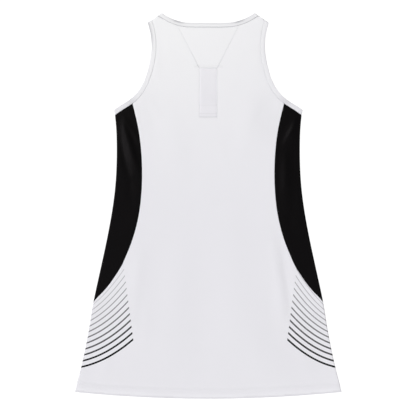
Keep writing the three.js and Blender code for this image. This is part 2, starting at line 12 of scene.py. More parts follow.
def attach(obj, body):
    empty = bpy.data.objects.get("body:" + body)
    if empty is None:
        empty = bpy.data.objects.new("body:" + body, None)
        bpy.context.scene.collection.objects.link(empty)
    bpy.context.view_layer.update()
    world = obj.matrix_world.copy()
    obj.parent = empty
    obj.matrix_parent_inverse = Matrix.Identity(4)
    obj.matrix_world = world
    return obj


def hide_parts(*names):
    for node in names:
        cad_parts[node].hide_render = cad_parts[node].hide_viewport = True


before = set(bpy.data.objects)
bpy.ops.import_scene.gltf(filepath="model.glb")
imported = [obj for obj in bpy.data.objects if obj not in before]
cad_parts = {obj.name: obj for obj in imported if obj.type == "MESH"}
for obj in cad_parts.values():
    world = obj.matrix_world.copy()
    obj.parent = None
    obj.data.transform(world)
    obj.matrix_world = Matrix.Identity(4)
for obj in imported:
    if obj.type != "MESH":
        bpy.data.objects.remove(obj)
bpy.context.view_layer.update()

MM = 0.001

# Cloth and layers
WALL = 1.2
LAYER_GAP = 1.6
SEAM_GAP = 0.08
FOLD_RADIUS = (2 * WALL + LAYER_GAP) / 2
HALF_TURN = math.pi * FOLD_RADIUS

# Hem. A ramp is where it starts and how long it is.
HEM_CENTRE_Y = -424
HEM_CORNER_RISE = 15
HEM_DEPTH = 20
HEM_RAISE = 0.75
HEM_SHORTER = {"back": 0.0, "front": 2.0}
HEM_ROWS = (15.0, 18.2)
HEM_DENT = 0.09
HEM_DENT_WIDTH = 0.6
HEM_FOLD_RAMP = (-3, 10)
HEM_STEP_RAMP = (HEM_DEPTH - 2.2, 4)

# Bindings
NECK_TAPE_WIDTH = 9.7
ARMHOLE_TAPE_WIDTH = 10.3
TAPE_WALL = 1.45
TAPE_PROUD = 0.25

# Shoulder, as the line where the back turns over to the front
SHOULDER_NECK = (101, 424)
SHOULDER_TIP = (133, 402.4)
NECK_SEAM_SHOULDER_X = 110.2
ARMHOLE_SEAM_TIP_X = 122.5

# Underarm and front scoop
UNDERARM_Y = 209.5
UNDERARM_DIP = 1.5
FRONT_NECK_Y = 332
FRONT_ARMHOLE_SCOOP = 7

# Vent strip and yoke insert in the upper back
VENT_HALF_WIDTH = 19.5
VENT_BOTTOM_Y = 194
VENT_TOP_Y = 302
VENT_WALL = 0.9
VENT_BORDER = 3.2
VENT_ROWS_Y = (202.2, 220.4)
HOLE_RADIUS = 0.38
HOLE_PITCH = 2.6
HOLE_SIDES = 8
YOKE_TOP_HALF_WIDTH = 68

# Welt across the top of the vent
BAR_Y = 305.6
BAR_HALF_WIDTH = 31.7
BAR_HALF_HEIGHT = 2.6
BAR_SLOPE = 1.6
BAR_END = 1.2
BAR_PROUD = 0.3

# Half width of the laid dress at each height
SIDE = [
    (-430, 294.5), (-407, 292.5), (-363, 281.5), (-327, 273.2), (-292, 266.0), (-257, 260.0), (-222, 254.4),
    (-187, 247.5), (-151, 239.6), (-116, 231.9), (-81, 224.4), (-46, 217.5), (-11, 211.4), (25, 206.4),
    (60, 203.2), (95, 201.6), (130, 201.3), (165, 202.2), (200, 205.4), (215, 208.6),
]
# Inner edge of the black side panel at each height, from the centre line
PANEL_EDGE = [
    (-240, 273), (-214, 254), (-203, 245), (-187, 229.3), (-169, 214.7), (-151, 202.4), (-134, 191.6),
    (-116, 183.2), (-81, 169.0), (-46, 158.4), (-11, 151.2), (25, 147.2), (60, 145.5), (95, 145.9),
    (130, 148.3), (165, 152.9), (200, 160.4), (222, 166.0), (245, 172.0),
]
# Free edge of the back armhole at each height, from the centre line
ARMHOLE = [
    (200, 221.4), (209.5, 208.0), (218, 195.9), (236, 168.6), (253, 152.9), (271, 142.3), (289, 135.4),
    (306, 130.7), (324, 127.1), (341, 124.9), (359, 124.7), (377, 126.7), (390, 129.6), (402, 133.0),
    (412, 136.2),
]
# Height of the back neckline's free edge at each distance from the centre line
NECKLINE = [
    (-30, 401.6), (0, 401.5), (30, 401.6), (50, 402.6), (62, 404.6), (73, 408.0), (84, 412.6), (93, 417.4),
    (101, 422.4), (108, 427.0),
]

# Soft ridges (up) and troughs (down) of the laid back: from x, y to x, y, width, height
MAIN_FOLDS = [
    (150, -70, 176, -236, 15, 1.7), (-146, -80, -172, -262, 17, 1.3), (128, -150, 150, -330, 17, -0.7),
    (-196, 186, -157, 60, 11, 1.5), (198, 196, 168, 120, 11, 1.3), (168, 130, 172, -20, 12, 1.4),
    (-52, -60, -92, -380, 30, 1.1), (44, 20, 70, -350, 32, 1.2), (-96, 250, -60, 60, 26, 0.9),
    (104, 246, 70, 90, 24, 0.9),
]
# Smaller creases of the same cloth
CREASES = [
    (-132, 238, -96, 176, 9, 0.45), (136, 236, 98, 168, 10, -0.5), (-38, 150, -30, 22, 13, -0.35),
    (27, 176, 38, 64, 12, 0.35), (-176, 96, -168, -8, 8, -0.5), (186, 40, 180, -70, 9, -0.45),
    (-128, -190, -146, -330, 13, 0.5), (196, -258, 226, -392, 14, 0.6), (-206, -268, -238, -398, 12, 0.5),
    (96, -216, 112, -396, 16, 0.5), (-8, -170, -14, -400, 20, -0.5), (-118, 332, -104, 262, 9, 0.35),
    (110, 346, 100, 280, 9, 0.35), (-84, 384, -92, 330, 8, 0.25), (6, -20, 2, -150, 16, 0.35),
    (-190, 196, -152, 66, 6, 1.7), (-199, 160, -174, 62, 8, -1.1), (204, 202, 162, 126, 5, 1.1),
    (-190, 202, -148, 134, 4.5, 0.9),
    (172, 128, 168, 20, 7, 0.6), (153, -58, 185, -262, 12, -2.3),
]
# Shallow troughs that stay clear of the surface on the side that lies down
UNDER_CREASES = [
    (-120, 180, -70, 20, 22, 0.35), (104, 150, 66, -40, 24, 0.4), (-60, -60, -110, -340, 26, 0.45),
    (60, -110, 128, -360, 24, 0.4), (8, 240, -6, 90, 18, 0.3), (186, -150, 224, -330, 16, 0.35),
]
# Painted shade where the soft folds leave the back in shade: from x, y to x, y, width, depth of the painted
# shade
FOLD_SHADES = [
    (116, 262, 142, 128, 30, 0.05), (-124, 262, -140, 140, 26, 0.028), (153, -58, 185, -262, 15, 0.035),
    (140, -240, 226, -410, 56, 0.03),
]
FOLD_FADE = 16
FOLD_TAPER = 0.8

# Shades painted on the cloth, as the share of TURNED_SHADE in them. Below 0 the cloth is lighter. Two in
# a row are for the left and the right, or for the lower and the upper row. Three are the shade, its middle
# and its width.
HEM_FOLD_SHADE = (0.22, 1.2, 1.3)
HEM_DOUBLE_SHADE = (-0.06, 6.5, 3.5)
SIDE_FOLD_SHADES = (0.24, 0.15)
SIDE_FOLD_MIDDLE, SIDE_FOLD_WIDTH = 1.1, 1.0
BAR_SHADE = 0.06
VENT_FOOT_SHADE = (0.2, VENT_BOTTOM_Y + 1, 1.6)
VENT_ROW_SHADES = (0.12, 0.06)
VENT_ROW_WIDTH = 1.2
VENT_BORDER_SHADE = 0.09
VENT_BORDER_RAMP = (VENT_HALF_WIDTH - VENT_BORDER - 1.5, 1.5)
NECK_EDGE_SHADE = 0.2
NECK_BEND_SHADE = (0.68, 71, 13)
NECK_BACK_RAMP = (388, 8)
NECK_SEAM_SHADE = 0.95
ARMHOLE_EDGE_SHADE = 0.03
ARMHOLE_SEAM_SHADES = (0, 0.1)
SHOULDER_EDGE_SHADES = (0.62, 0.14)
SHOULDER_RAMPS = (325, 60), (290, 40)
UNDERARM_SEAM_SHADES = (0.1, 0.2)
UNDERARM_RAMP = (270, -40)
UNDERARM_PANEL_X = 160.4
PUCKER_SHADE = (0.17, 10, 9)
BY_PANEL_SHADE = 0.07
BY_PANEL_RAMP = (-10, 12)
EDGE_SHADE_WIDTH = 3.6
SEAM_SHADE_WIDTH = 0.8

# Edges of a cut piece, rolled over and pressed down at the seams
EDGE_ROLL = 0.3
EDGE_DIP = 0.1
EDGE_DIP_WIDTH = 1.6

# How finely the cloth is divided
EDGE_STEP = 3.0
LINE_STEP = EDGE_STEP * 1.4
SAME_PLACE = 0.05
RIM_RINGS = (0.22, 0.6, 1.3)
RIM_KEPT = 0.9
LATTICE_ROOM = (0.35, 0.4)
HOLE_COLLAR = 1.4
TURN_STEPS = 8
BEFORE_TURN = 1.2
SAMPLES = 240
POINTS_AT_ONCE = 800
SAME_POINT = 1e-4
HEM_STEPS = (14.2, 15.0, 15.8, 17.4, 18.2, 19.0, 19.9, 20.9)
BAR_STEPS = (-2.6, -1.8, -1.2, 0, 1.2, 1.8, 2.6)
VENT_ROW_STEPS = (-1.1, 0, 0.7)
BACK_PITCH = 4.6
FRONT_PITCH = 8.0
SIDE_PITCH = 4.0
YOKE_PITCH = 3.6


def lerp(a, b, t):
    return a + (b - a) * t


def smoothstep(t):
    s = np.clip(t, 0, 1)
    return s * s * (3 - 2 * s)


def ramp(x, start, length):
    """0 up to the start, then softly up to 1 over a length, which is negative where it rises downwards."""
    return smoothstep((x - start) / length)


def bell(x, height, middle, width):
    """A height at the middle that falls away softly on both sides."""
    return height * np.exp(-(((x - middle) / width) ** 2))


def line_of(x, y):
    """Points of the flat cloth, one row each, from their x and y."""
    return np.stack(np.broadcast_arrays(x, y), axis=1)


def through(rows):
    """A smooth curve through a table's rows, straight past both ends."""
    at, value = np.array(rows, float).T
    ends = np.diff(value) / np.diff(at)
    slope = np.concatenate([ends[:1], (value[2:] - value[:-2]) / (at[2:] - at[:-2]), ends[-1:]])

    def curve(x):
        x = np.asarray(x, float)
        inside = np.clip(x, at[0], at[-1])
        i = np.clip(np.searchsorted(at, inside, side="right") - 1, 0, len(at) - 2)
        span = at[i + 1] - at[i]
        t = (inside - at[i]) / span
        rise = value[i] * (2 * t**3 - 3 * t**2 + 1) + value[i + 1] * (3 * t**2 - 2 * t**3)
        rise = rise + span * (slope[i] * (t**3 - 2 * t**2 + t) + slope[i + 1] * (t**3 - t**2))
        past = x - inside
        return rise + past * np.where(past < 0, slope[0], slope[-1])

    return curve


half_width = through(SIDE)
panel_edge = through(PANEL_EDGE)
back_armhole = through(ARMHOLE)
back_neckline = through(NECKLINE)


def front_armhole(y):
    along = np.clip((y - UNDERARM_Y) / (SHOULDER_TIP[1] - UNDERARM_Y), 0, 1)
    return back_armhole(y) - FRONT_ARMHOLE_SCOOP * np.sin(np.pi * along)


def side_turn(y):
    """Where the side begins to turn over to the other layer."""
    return half_width(np.minimum(y, UNDERARM_Y)) - FOLD_RADIUS


def shoulder_turn(x):
    """Where the shoulder begins to turn over to the other layer."""
    slope = (SHOULDER_TIP[1] - SHOULDER_NECK[1]) / (SHOULDER_TIP[0] - SHOULDER_NECK[0])
    return SHOULDER_NECK[1] + slope * (np.abs(x) - SHOULDER_NECK[0]) - FOLD_RADIUS


def folds_height(folds, x, y):
    """Height of soft folds, each a line with a width and a height that tapers to both ends."""
    total = np.zeros(np.shape(x))
    for x1, y1, x2, y2, width, height in folds:
        dx, dy = x2 - x1, y2 - y1
        length = math.hypot(dx, dy)
        along = np.clip(((x - x1) * dx + (y - y1) * dy) / length**2, 0, 1)
        across = ((x - x1) * dy - (y - y1) * dx) / length
        total += np.sin(np.pi * along) ** FOLD_TAPER * bell(across, height, 0, width)
    from_side = smoothstep((side_turn(y) - np.abs(x)) / FOLD_FADE)
    return total * from_side * smoothstep((shoulder_turn(x) - y) / FOLD_FADE)


def lay(layer, x, y, depth=0.0, proud=0.0):
    """Lays points of a flat cut on their layer. Past a turn, x or y runs on round it to the other layer.
    depth is how far a point lies inside the cloth, and proud how far it stands over the upper layer."""
    x, y = np.asarray(x, float), np.asarray(y, float)
    side = np.where(x < 0, -1.0, 1.0)
    upper = 1.0 if layer == "back" else -1.0
    at_shoulder = y > (UNDERARM_Y + SHOULDER_TIP[1]) / 2
    start = np.where(at_shoulder, shoulder_turn(x), side_turn(y))
    over = np.where(at_shoulder, y, np.abs(x)) - start
    angle = np.clip(over / FOLD_RADIUS, 0, np.pi)
    top = np.maximum(0, np.cos(angle) * upper)
    under = np.maximum(0, -np.cos(angle) * upper)
    radius = FOLD_RADIUS + proud * top - depth
    reach = np.where(over <= 0, start + over, start + radius * np.sin(angle))
    reach = np.where(over > HALF_TURN, start - (over - HALF_TURN), reach)
    px = side * np.where(at_shoulder, np.abs(x), reach)
    py = np.where(at_shoulder, reach, y)
    z = FOLD_RADIUS + upper * radius * np.cos(angle)
    z = z + top * folds_height(MAIN_FOLDS + CREASES, px, py) + under * folds_height(UNDER_CREASES, px, py)
    return np.stack([px, py, z], axis=-1)


def beside(line, distance):
    """The line that runs beside a line at a distance, to its right hand."""
    ahead = np.gradient(line, axis=0)
    ahead /= np.linalg.norm(ahead, axis=1)[:, None]
    return line + distance * line_of(ahead[:, 1], -ahead[:, 0])


def clipped(line, inside):
    """The stretch of a line where inside() is not negative, cut where it turns negative."""
    here = inside(*line.T)
    out = []
    for i, point in enumerate(line):
        if i and (here[i] < 0) != (here[i - 1] < 0):
            out.append(lerp(line[i - 1], point, here[i - 1] / (here[i - 1] - here[i])))
        if here[i] >= 0:
            out.append(point)
    return np.array(out)


def spaced(line, steps=None):
    """A line again, as points spaced evenly along it."""
    line = np.asarray(line, float)
    along = np.concatenate([[0], np.cumsum(np.linalg.norm(np.diff(line, axis=0), axis=1))])
    steps = steps or max(1, round(along[-1] / EDGE_STEP))
    at = np.linspace(0, along[-1], steps + 1)
    return line_of(*(np.interp(at, along, line[:, k]) for k in (0, 1)))


def under_shoulder(x, y):
    return shoulder_turn(x) - y


def within_side(x, y):
    return side_turn(y) - x


def armhole_line(layer, distance):
    """The armhole's line on a layer, from the underarm fold to the shoulder turn, in from its free edge."""
    edge = back_armhole if layer == "back" else front_armhole
    y = np.linspace(ARMHOLE[-1][0], ARMHOLE[0][0], SAMPLES)
    line = beside(line_of(edge(y), y), distance)
    return clipped(clipped(line, under_shoulder), within_side)[::-1]


def neck_line(layer, distance):
    """The neck's line on a layer, from the centre line to the shoulder turn, out from its free edge."""
    if layer == "back":
        x = np.linspace(NECKLINE[0][0], NECKLINE[-1][0], SAMPLES)
        line = line_of(x, back_neckline(x))
    else:
        angle = np.linspace(-0.3, math.pi / 2, SAMPLES)
        depth = SHOULDER_NECK[1] - FRONT_NECK_Y
        line = line_of(SHOULDER_NECK[0] * np.sin(angle), SHOULDER_NECK[1] - depth * np.cos(angle))
        line = np.append(line, [[SHOULDER_NECK[0], SHOULDER_NECK[1] + FOLD_RADIUS]], axis=0)
    return clipped(clipped(beside(line, distance), lambda x, y: x), under_shoulder)


def armhole_seam(layer, short=0.0):
    """The seam of the armhole's binding, up to where the shoulder begins to turn, or a line that runs a
    little short of it, on the binding."""
    line = armhole_line(layer, ARMHOLE_TAPE_WIDTH + SEAM_GAP / 2 - short)
    tip = ARMHOLE_SEAM_TIP_X + short
    line[0, 0] = side_turn(line[0, 1])
    line[-1] = [tip, shoulder_turn(tip)]
    return line


def neck_seam(layer, short=0.0):
    """The same for the neck's binding, from the centre line."""
    line = neck_line(layer, NECK_TAPE_WIDTH + SEAM_GAP / 2 - short)
    tip = NECK_SEAM_SHOULDER_X - short
    line[0, 0] = 0
    line[-1] = [tip, shoulder_turn(tip)]
    return line


def armhole_lines(layer):
    return armhole_line(layer, 0), armhole_seam(layer, SEAM_GAP / 2)


def neck_lines(layer):
    return neck_line(layer, 0), neck_seam(layer, SEAM_GAP / 2)


def hem_y(x, shorter=0.0):
    """Height of the hem's edge, which rises to both corners."""
    corner = side_turn(HEM_CENTRE_Y + HEM_CORNER_RISE) + HALF_TURN / 2
    return HEM_CENTRE_Y + shorter + HEM_CORNER_RISE * (x / corner) ** 2


def meeting_y(low, high, difference):
    """The height at which a rising difference is nought."""
    y = np.linspace(low, high, SAMPLES)
    value = difference(y)
    order = np.argsort(value)
    return float(np.interp(0, value[order], y[order]))


def side_middle(y):
    """The middle of the side fold, measured in the cloth."""
    return side_turn(y) + HALF_TURN / 2


# Height of the black panel's lower point, on the side fold
POINT_Y = meeting_y(-230, -200, lambda y: side_middle(y) - panel_edge(y))


def panel_corner(layer):
    """Where the black panel's inner edge meets the armhole seam."""
    line = armhole_seam(layer)
    return clipped(line, lambda x, y: x - panel_edge(y))[-1]


def anticlockwise(outline):
    x, y = outline.T
    area = np.sum(x * np.roll(y, -1) - y * np.roll(x, -1)) / 2
    return (outline if area > 0 else outline[::-1]), abs(area)


def closed(stretches, mirrored=True):
    """An outline from stretches that run on from each other, each with even steps, and their mirror."""
    points = np.concatenate([spaced(stretch)[:-1] for stretch in stretches] + [stretches[-1][-1:]])
    if mirrored:
        points = np.concatenate([points, (points * [-1, 1])[::-1]])
    far = np.linalg.norm(points - np.roll(points, 1, axis=0), axis=1) > SAME_PLACE
    return anticlockwise(points[far])[0]


def inset(outline, distance):
    """An anticlockwise outline, moved in over its cloth."""
    after = np.roll(outline, -1, axis=0) - outline
    normal = line_of(-after[:, 1], after[:, 0]) / np.linalg.norm(after, axis=1)[:, None]
    mitre = normal + np.roll(normal, 1, axis=0)
    mitre /= np.maximum(1e-9, np.linalg.norm(mitre, axis=1))[:, None]
    reach = distance / np.maximum(0.5, (mitre * normal).sum(1))
    return outline + mitre * reach[:, None]


def distance_to(points, path):
    """How far each point lies from a path of straight steps."""
    start, step = path[:-1], np.diff(path, axis=0)
    length = (step**2).sum(1)
    found = []
    for i in range(0, len(points), POINTS_AT_ONCE):
        away = points[i : i + POINTS_AT_ONCE, None] - start
        t = np.clip((away * step).sum(2) / length, 0, 1)
        found.append(np.linalg.norm(away - t[..., None] * step, axis=2).min(1))
    return np.concatenate(found)


def triangulated(outline, pitch, lines=(), holes=()):
    """Fills a flat cut: rings close inside its outline, lines that it turns or steps along, round holes
    with a collar each, or else an even lattice. Returns the points, the triangles and each point's distance
    in from the edge."""
    loop = np.append(outline, outline[:1], axis=0)
    points, edges, faces = [outline], [], [list(range(len(outline)))]
    count = len(outline)

    def add(more, linked=False, ring=False):
        nonlocal count
        points.append(more)
        if linked:
            edges.extend((count + k, count + k + 1) for k in range(len(more) - 1))
        if ring:
            faces.append(list(range(count, count + len(more))))
        count += len(more)

    for distance in RIM_RINGS:
        ring = inset(outline, distance)
        add(ring[distance_to(ring, loop) > RIM_KEPT * distance])
    kept_clear = [loop]
    for line in lines:
        inner = line[distance_to(line, loop) > RIM_RINGS[0] / 2]
        add(inner, linked=True)
        kept_clear.append(inner)
    for hole in holes:
        centre = hole.mean(0)
        add(hole, ring=True)
        add(centre + (hole - centre) * HOLE_COLLAR)
    low, high = outline.min(0), outline.max(0)
    rise = pitch * math.sqrt(3) / 2
    lattice = np.concatenate([
        line_of(np.arange(low[0] + (k % 2) * pitch / 2, high[0], pitch), y)
        for k, y in enumerate(np.arange(low[1], high[1], rise))
    ])
    clear = np.full(len(lattice), True)
    rooms = [RIM_RINGS[-1] + pitch * LATTICE_ROOM[0]] + [pitch * LATTICE_ROOM[1]] * len(lines)
    for path, room in zip(kept_clear, rooms):
        clear &= distance_to(lattice, path) > room
    if not len(holes):
        add(lattice[clear])
    flat = [Vector(p) for p in np.concatenate(points)]
    made = delaunay_2d_cdt(flat, edges, faces, 0, SAME_POINT)
    where = np.array([tuple(p) for p in made[0]])
    triangles = np.array([face for face, source in zip(made[2], made[5]) if source == [0]])
    return where, triangles, distance_to(where, loop)


def plain_object(name, mesh, material):
    mesh.name = name
    mesh.materials.clear()
    mesh.materials.append(material)
    made = bpy.data.objects.new(name, mesh)
    bpy.context.scene.collection.objects.link(made)
    return made


def mesh_from(name, points, faces, attributes, uv):
    """A smooth mesh in metres with its faces outwards, from points in millimetres."""
    mesh = bpy.data.meshes.new(name)
    fans = np.array([(face[0], *face[k : k + 2]) for face in faces for k in range(1, len(face) - 1)])
    first, second, third = points[fans.T]
    if np.sum(first * np.cross(second, third)) < 0:
        faces = [face[::-1] for face in faces]
    mesh.from_pydata((points * MM).tolist(), [], faces)
    for key, values in attributes.items():
        layer = mesh.attributes.new(key, "FLOAT", "POINT")
        layer.data.foreach_set("value", np.asarray(values, np.float32))
    corner = np.empty(len(mesh.loops), np.int32)
    mesh.loops.foreach_get("vertex_index", corner)
    layer = mesh.uv_layers.new(name="cloth")
    layer.data.foreach_set("uv", (uv[corner] * MM).astype(np.float32).ravel())
    mesh.polygons.foreach_set("use_smooth", [True] * len(mesh.polygons))
    mesh.validate()
    return mesh


def shell(name, outline, layer, pitch, material, lines=(), holes=(), wall=WALL, proud=None, thicker=None,
          attributes=None):
    """A cut piece as a closed shell on its layer. proud and thicker give how far it stands out over the
    layer and how much it is thicker inside, and attributes what its finish reads, all from x and y."""
    outline = inset(outline, SEAM_GAP / 2)
    flat, triangles, rim = triangulated(outline, pitch, lines, holes)
    x, y = flat.T
    into = EDGE_ROLL - np.minimum(rim, EDGE_ROLL)
    roll = EDGE_ROLL - np.sqrt(EDGE_ROLL**2 - into**2)
    dip = bell(rim, EDGE_DIP, 0, EDGE_DIP_WIDTH)
    raised = proud(x, y) if proud else 0.0
    extra = thicker(x, y) if thicker else 0.0
    outer = lay(layer, x, y, roll + dip, raised)
    inner = lay(layer, x, y, wall - roll + extra)
    count = len(flat)
    sides = np.concatenate([triangles[:, pair] for pair in ([0, 1], [1, 2], [2, 0])])
    rims, uses = np.unique(np.sort(sides, axis=1), axis=0, return_counts=True)
    directed = {(a, b) for t in triangles.tolist() for a, b in zip(t, t[1:] + t[:1])}
    faces = triangles.tolist() + (triangles[:, ::-1] + count).tolist()
    for a, b in rims[uses == 1].tolist():
        a, b = (a, b) if (a, b) in directed else (b, a)
        faces.append([b, a, a + count, b + count])
    facts = {"seam": np.tile(rim, 2)}
    for key, values in (attributes(x, y) if attributes else {}).items():
        facts[key] = np.tile(values, 2)
    mesh = mesh_from(name, np.concatenate([outer, inner]), faces, facts, np.tile(flat, (2, 1)))
    return plain_object(name, mesh, material)


def turn_lines(low, high, overs):
    """Lines along both side folds, at distances past the start of the turn."""
    y = np.arange(low, high, LINE_STEP)
    return [line_of(side * (side_turn(y) + over), y) for over in overs for side in (-1, 1)]


def shoulder_lines(overs):
    x = np.arange(NECK_SEAM_SHOULDER_X - 2, ARMHOLE_SEAM_TIP_X + 2, EDGE_STEP)
    return [line_of(side * x, shoulder_turn(x) + over) for over in overs for side in (-1, 1)]


def hem_lines():
    x = np.arange(-side_middle(HEM_CENTRE_Y), side_middle(HEM_CENTRE_Y), LINE_STEP)
    return [line_of(x, hem_y(x) + height) for height in HEM_STEPS]


def level_lines(low, high, step, heights):
    x = np.arange(low, high, step)
    return [line_of(x, y) for y in heights]


def bar_lines():
    reach = BAR_HALF_WIDTH + 3
    return level_lines(-reach, reach, 2.0, [BAR_Y + up for up in BAR_STEPS])


def vent_lines():
    """Lines along the sewn rows, so that the mesh lies flat there between its rows of holes."""
    heights = [row + up for row in VENT_ROWS_Y for up in VENT_ROW_STEPS]
    return level_lines(-VENT_HALF_WIDTH + 1, VENT_HALF_WIDTH, 1.3, heights)


TURNS = [-BEFORE_TURN] + [HALF_TURN * k / TURN_STEPS for k in range(TURN_STEPS + 1)]
HALF_FOLD = TURNS[: TURN_STEPS // 2 + 1]
WHOLE_FOLD = TURNS + [HALF_TURN + BEFORE_TURN]


def hem_thickness(layer, x, y):
    """How much thicker the turned-up hem is. It thins to its fold, and dents along its rows of stitches."""
    above = y - hem_y(np.abs(x), HEM_SHORTER[layer])
    step = (1 - ramp(above, *HEM_STEP_RAMP)) * ramp(above, *HEM_FOLD_RAMP)
    dents = sum(bell(above, HEM_DENT, row, HEM_DENT_WIDTH) for row in HEM_ROWS)
    return (HEM_RAISE * step - dents) * ramp(np.abs(x), side_turn(y), -HALF_TURN)


def body_outline(layer):
    corner = float(side_middle(HEM_CENTRE_Y + HEM_CORNER_RISE))
    across = np.linspace(0, corner, SAMPLES)
    hem = line_of(across, hem_y(across, HEM_SHORTER[layer]))
    up = np.linspace(hem[-1, 1], POINT_Y, SAMPLES)
    side = line_of(side_middle(up), up)
    seam = armhole_seam(layer)
    corner_y = panel_corner(layer)[1]
    beside_panel = np.linspace(POINT_Y, corner_y, SAMPLES)
    panel = line_of(panel_edge(beside_panel), beside_panel)
    armhole = seam[seam[:, 1] > corner_y]
    neck = neck_seam(layer)[::-1]
    tip, start = armhole[-1], neck[0]
    past = np.array([0, HALF_TURN / 2])
    shoulder = [tip, tip + past]
    over = [tip + past, start + past]
    down = [start + past, start]
    stretches = [hem, side, panel, armhole, shoulder, over, down]
    if layer == "front":
        return closed(stretches + [neck])
    yoke_end = yoke_corner()
    neck = np.append(neck[neck[:, 0] > yoke_end[0]], [yoke_end], axis=0)
    vent = [[VENT_HALF_WIDTH, VENT_TOP_Y], [VENT_HALF_WIDTH, VENT_BOTTOM_Y], [0, VENT_BOTTOM_Y]]
    return closed(stretches + [neck, [yoke_end, vent[0]], vent[:2], vent[1:]])


def yoke_corner():
    line = neck_seam("back")
    return np.array([YOKE_TOP_HALF_WIDTH, np.interp(YOKE_TOP_HALF_WIDTH, line[:, 0], line[:, 1])])


def yoke_outline():
    corner = yoke_corner()
    neck = neck_seam("back")
    neck = np.append(neck[neck[:, 0] < corner[0]], [corner], axis=0)[::-1]
    low = [VENT_HALF_WIDTH, VENT_TOP_Y]
    return closed([[[0, VENT_TOP_Y], low], [low, corner], neck])


def vent_outline():
    low, high = VENT_BOTTOM_Y, VENT_TOP_Y
    return closed([[[0, low], [VENT_HALF_WIDTH, low]], [[VENT_HALF_WIDTH, low], [VENT_HALF_WIDTH, high]],
                   [[VENT_HALF_WIDTH, high], [0, high]]])


def round_to_front(line):
    """A line of the front layer, measured in the cloth that runs round from the back."""
    return line_of(2 * side_turn(line[:, 1]) + HALF_TURN - line[:, 0], line[:, 1])


def side_outline(side):
    """The black panel, opened out flat from its back edge to its front edge."""
    edges = {}
    for layer in ("back", "front"):
        seam = armhole_seam(layer)
        corner = panel_corner(layer)
        y = np.linspace(POINT_Y, corner[1], SAMPLES)
        inner = np.append(line_of(panel_edge(y), y)[:-1], [corner], axis=0)
        edges[layer] = (inner, np.append(seam[seam[:, 1] < corner[1]], [corner], axis=0))
    t = np.linspace(0, 1, TURN_STEPS + 1)
    y = lerp(edges["back"][1][0, 1], edges["front"][1][0, 1], t) - UNDERARM_DIP * np.sin(np.pi * t)
    fold = line_of(side_turn(y) + t * HALF_TURN, y)
    stretches = [
        round_to_front(edges["front"][0]), round_to_front(edges["front"][1])[::-1], fold[::-1],
        edges["back"][1], edges["back"][0][::-1],
    ]
    outline = closed(stretches, mirrored=False)
    return anticlockwise(outline * [side, 1])[0]


def ring_stations(layer_lines, side=None):
    """The places round a binding: the layer, the hand, and the free edge and the seam, measured in the
    cloth. side is 1 or -1 for a ring on one side of the dress, and None for one that crosses the centre
    line."""

    def half(hand):
        lines = {}
        for layer in ("back", "front"):
            free, seam = layer_lines(layer)
            steps = round(np.linalg.norm(np.diff(seam, axis=0), axis=1).sum() / EDGE_STEP)
            lines[layer] = (spaced(free, steps), spaced(seam, steps))
        found = [("back", hand, free, seam) for free, seam in zip(*lines["back"])]
        ends = [[lines[layer][k][-1, 0] for layer in ("back", "front")] for k in (0, 1)]
        for t in np.linspace(0, 1, TURN_STEPS + 1)[1:-1]:
            x = [lerp(*end, t) for end in ends]
            found.append(("back", hand, *[[at, float(shoulder_turn(at)) + t * HALF_TURN] for at in x]))
        back_down = zip(*(line[::-1] for line in lines["front"]))
        found += [("front", hand, free, seam) for free, seam in back_down]
        return found, lines

    stations, lines = half(side or 1)
    if side is None:
        return stations + half(-1)[0][1:-1][::-1]
    for t in np.linspace(0, 1, TURN_STEPS + 1)[1:-1]:
        ends = []
        for k in (0, 1):
            y = lerp(lines["front"][k][0, 1], lines["back"][k][0, 1], t)
            y -= UNDERARM_DIP * math.sin(math.pi * t)
            ends.append([float(side_turn(y)) + t * HALF_TURN, y])
        stations.append(("front", side, *ends))
    return stations


def laid_across(station, share, depth, proud):
    """Places between a station's free edge (0) and its seam (1)."""
    layer, hand, free, seam = station
    spot = lerp(np.asarray(free), np.asarray(seam), np.asarray(share)[:, None])
    return lay(layer, hand * spot[:, 0], spot[:, 1], depth, proud)


def neck_shades(x, y):
    """Painted shade on the neck binding at its free edge, at its seam and all over. The painted shade on
    the edge is darkest at both bends."""
    edge = NECK_EDGE_SHADE + ramp(y, *NECK_BACK_RAMP) * bell(np.abs(x), *NECK_BEND_SHADE)
    return edge, np.full(len(x), NECK_SEAM_SHADE), np.zeros(len(x))


def armhole_shades(x, y):
    """The same for an armhole. Near the shoulder its edge has dark painted shade on the left, and under the
    arm painted shade lies where the binding puckers beside the black panel."""
    left = x < 0
    high = np.where(left, *(ramp(y, *place) for place in SHOULDER_RAMPS))
    edge = ARMHOLE_EDGE_SHADE + np.where(left, *SHOULDER_EDGE_SHADES) * high
    low = ramp(y, *UNDERARM_RAMP)
    seam = np.where(left, *UNDERARM_SEAM_SHADES) * low + np.where(left, *ARMHOLE_SEAM_SHADES)
    out = np.abs(x) - UNDERARM_PANEL_X
    return edge, seam, bell(out, *PUCKER_SHADE) + BY_PANEL_SHADE * ramp(out, *BY_PANEL_RAMP)


def tape_section(width):
    """A binding's section, from the seam over the free edge and back under, as distance in and depth."""
    radius = TAPE_WALL / 2
    turns = np.linspace(math.pi / 2, -math.pi / 2, 9)
    rolled = [(radius * (1 - math.cos(a)), radius * (1 - math.sin(a))) for a in turns]
    over = [(width - 0.05, 0.5), (width - 0.3, 0.16), (width - 0.9, 0)]
    flat = [(width * 0.33, TAPE_WALL), (width * 0.66, TAPE_WALL)]
    under = [(width - 0.5, TAPE_WALL), (width - 0.15, TAPE_WALL - 0.3)]
    return np.array(over + [(away, 0) for away, _ in flat[::-1]] + rolled + flat + under)


